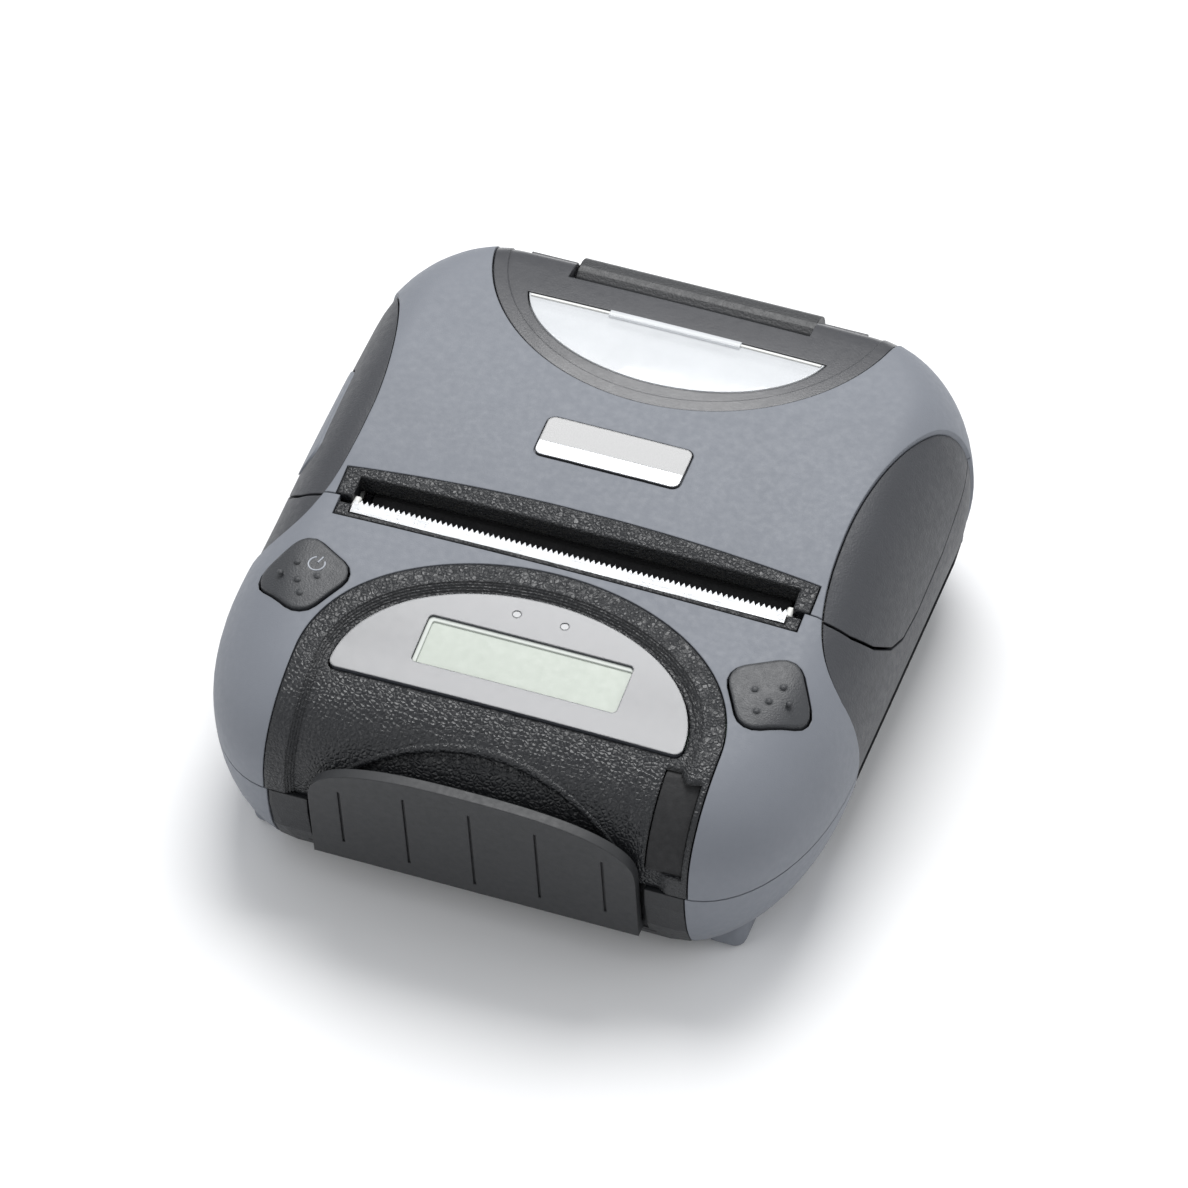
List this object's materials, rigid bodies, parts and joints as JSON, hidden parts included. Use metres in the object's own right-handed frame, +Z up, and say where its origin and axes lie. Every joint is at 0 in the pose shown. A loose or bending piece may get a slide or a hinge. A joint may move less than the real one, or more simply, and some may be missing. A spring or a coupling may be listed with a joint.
{
  "type": "mobile receipt printer",
  "caption": "Handheld receipt printer for 80 mm paper, with a hinged paper lid, tear slot, display, card swipe guide, keys and working print train.",
  "frame": {"origin": "middle of the footprint, on the plane the feet stand on", "axes": "+Z up, +Y towards the lid's hinge at the rear, -Y towards the card guide at the front, +X to the side with the feed button"},
  "size_m": [0.1172, 0.1296, 0.051],
  "materials": {
    "grey_overmould": "soft-touch matte",
    "dark_grip": "grained",
    "black_grain": "leather grain",
    "charcoal": "satin",
    "lid_dark": "semi-gloss",
    "clear": "clear",
    "lens": "smooth tinted",
    "screen": "satin",
    "steel": "bare",
    "white_plastic": "plain",
    "board": "coated board",
    "ceramic": "glazed",
    "roller_rubber": "ground",
    "paper": "paper",
    "card": "card tube"
  },
  "bodies": {
    "base": {"front_cover": "grey_overmould", "front_bumper_left": "grey_overmould", "front_bumper_right": "grey_overmould", "rear_bumper_left": "grey_overmould", "rear_bumper_right": "grey_overmould", "base_grip_left": "dark_grip", "base_grip_right": "dark_grip", "bottom_case": "black_grain", "front_panel": "black_grain", "card_guide": "charcoal", "slot_frame": "charcoal", "power_switch": "charcoal", "feed_switch": "charcoal", "roll_bay": "charcoal", "battery_pack": "charcoal", "display_lens": "lens", "display_module": "screen", "tear_blade": "steel", "chassis": "steel", "head_spring_left": "steel", "head_spring_right": "steel", "hinge_pin": "steel", "feed_motor": "steel", "read_head_spring": "steel", "port_socket": "steel", "front_screw_left": "steel", "front_screw_right": "steel", "rear_screw_left": "steel", "rear_screw_right": "steel", "paper_guide_left": "white_plastic", "paper_guide_right": "white_plastic", "power_lamp": "white_plastic", "status_lamp": "white_plastic", "control_board": "board", "main_board": "board"},
    "lid": {"lid_cover": "grey_overmould", "lid_frame": "lid_dark", "lid_window": "clear", "lid_lip": "black_grain", "lid_grip_left": "dark_grip", "lid_grip_right": "dark_grip", "name_plate": "charcoal", "platen_bearing_left": "white_plastic", "platen_bearing_right": "white_plastic"},
    "platen": {"platen_roller": "roller_rubber", "platen_shaft": "steel", "platen_gear": "white_plastic"},
    "latch": {"latch_shaft": "steel"},
    "open_key": {"open_button": "grey_overmould"},
    "power_key": {"power_button": "charcoal"},
    "feed_key": {"feed_button": "charcoal"},
    "port_flap": {"port_cover": "roller_rubber"},
    "idler": {"idler_gear": "white_plastic"},
    "pinion": {"motor_pinion": "white_plastic"},
    "paper": {"paper_roll": "paper", "roll_core": "card"},
    "print_unit": {"head_bracket": "steel", "print_head": "ceramic"},
    "swipe_head": {"read_head": "steel"},
    "battery_catch": {"battery_latch": "charcoal"}
  },
  "joints": [
    {"name": "lid_hinge", "type": "hinge", "parent": "base", "child": "lid", "pos_m": [0, 0.0591, 0.0423], "axis": [-1, 0, 0], "range_deg": [0, 80]},
    {"name": "platen_spin", "type": "hinge", "parent": "lid", "child": "platen", "pos_m": [0, -0.0037, 0.0375], "axis": [1, 0, 0], "continuous": true},
    {"name": "idler_spin", "type": "hinge", "parent": "base", "child": "idler", "pos_m": [0.0456, -0.0037, 0.02385], "axis": [1, 0, 0], "continuous": true},
    {"name": "pinion_spin", "type": "hinge", "parent": "base", "child": "pinion", "pos_m": [0.0456, -0.00967, 0.01564], "axis": [1, 0, 0], "continuous": true},
    {"name": "paper_spin", "type": "hinge", "parent": "base", "child": "paper", "pos_m": [0, 0.0288, 0.0247], "axis": [1, 0, 0], "continuous": true},
    {"name": "power_press", "type": "slide", "parent": "base", "child": "power_key", "axis": [0, 0, -1], "range_m": [0, 0.0008], "stiffness_N_per_m": 300, "springref_m": -0.0005},
    {"name": "feed_press", "type": "slide", "parent": "base", "child": "feed_key", "axis": [0, 0, -1], "range_m": [0, 0.0008], "stiffness_N_per_m": 300, "springref_m": -0.0005},
    {"name": "open_press", "type": "slide", "parent": "lid", "child": "open_key", "axis": [1, 0, 0], "range_m": [0, 0.002], "stiffness_N_per_m": 400, "springref_m": -0.001},
    {"name": "latch_turn", "type": "hinge", "parent": "lid", "child": "latch", "pos_m": [0, 0.0073, 0.0384], "axis": [1, 0, 0], "range_deg": [0, 10.1]},
    {"name": "port_flap_turn", "type": "hinge", "parent": "base", "child": "port_flap", "pos_m": [0.0349, -0.0595, 0.0274], "axis": [1, 0, 0], "range_deg": [0, 75]},
    {"name": "head_pivot", "type": "hinge", "parent": "base", "child": "print_unit", "pos_m": [0, -0.0121, 0.0264], "axis": [1, 0, 0], "range_deg": [0, 1.2], "stiffness_Nm_per_rad": 0.4, "springref_deg": -5.73, "deforming": ["head_spring_left", "head_spring_right"]},
    {"name": "swipe_head_slide", "type": "slide", "parent": "base", "child": "swipe_head", "axis": [0, 1, 0], "range_m": [0, 0.0004], "stiffness_N_per_m": 500, "springref_m": -0.0004},
    {"name": "battery_catch_slide", "type": "slide", "parent": "base", "child": "battery_catch", "axis": [0, 1, 0], "range_m": [0, 0.0015], "stiffness_N_per_m": 200, "springref_m": -0.001}
  ],
  "couplings": [
    {"joint": "idler_spin", "follows": "platen_spin", "ratio": -0.8},
    {"joint": "pinion_spin", "follows": "platen_spin", "ratio": 2.4},
    {"joint": "latch_turn", "follows": "open_press", "rad_per_m": 87.27}
  ]
}
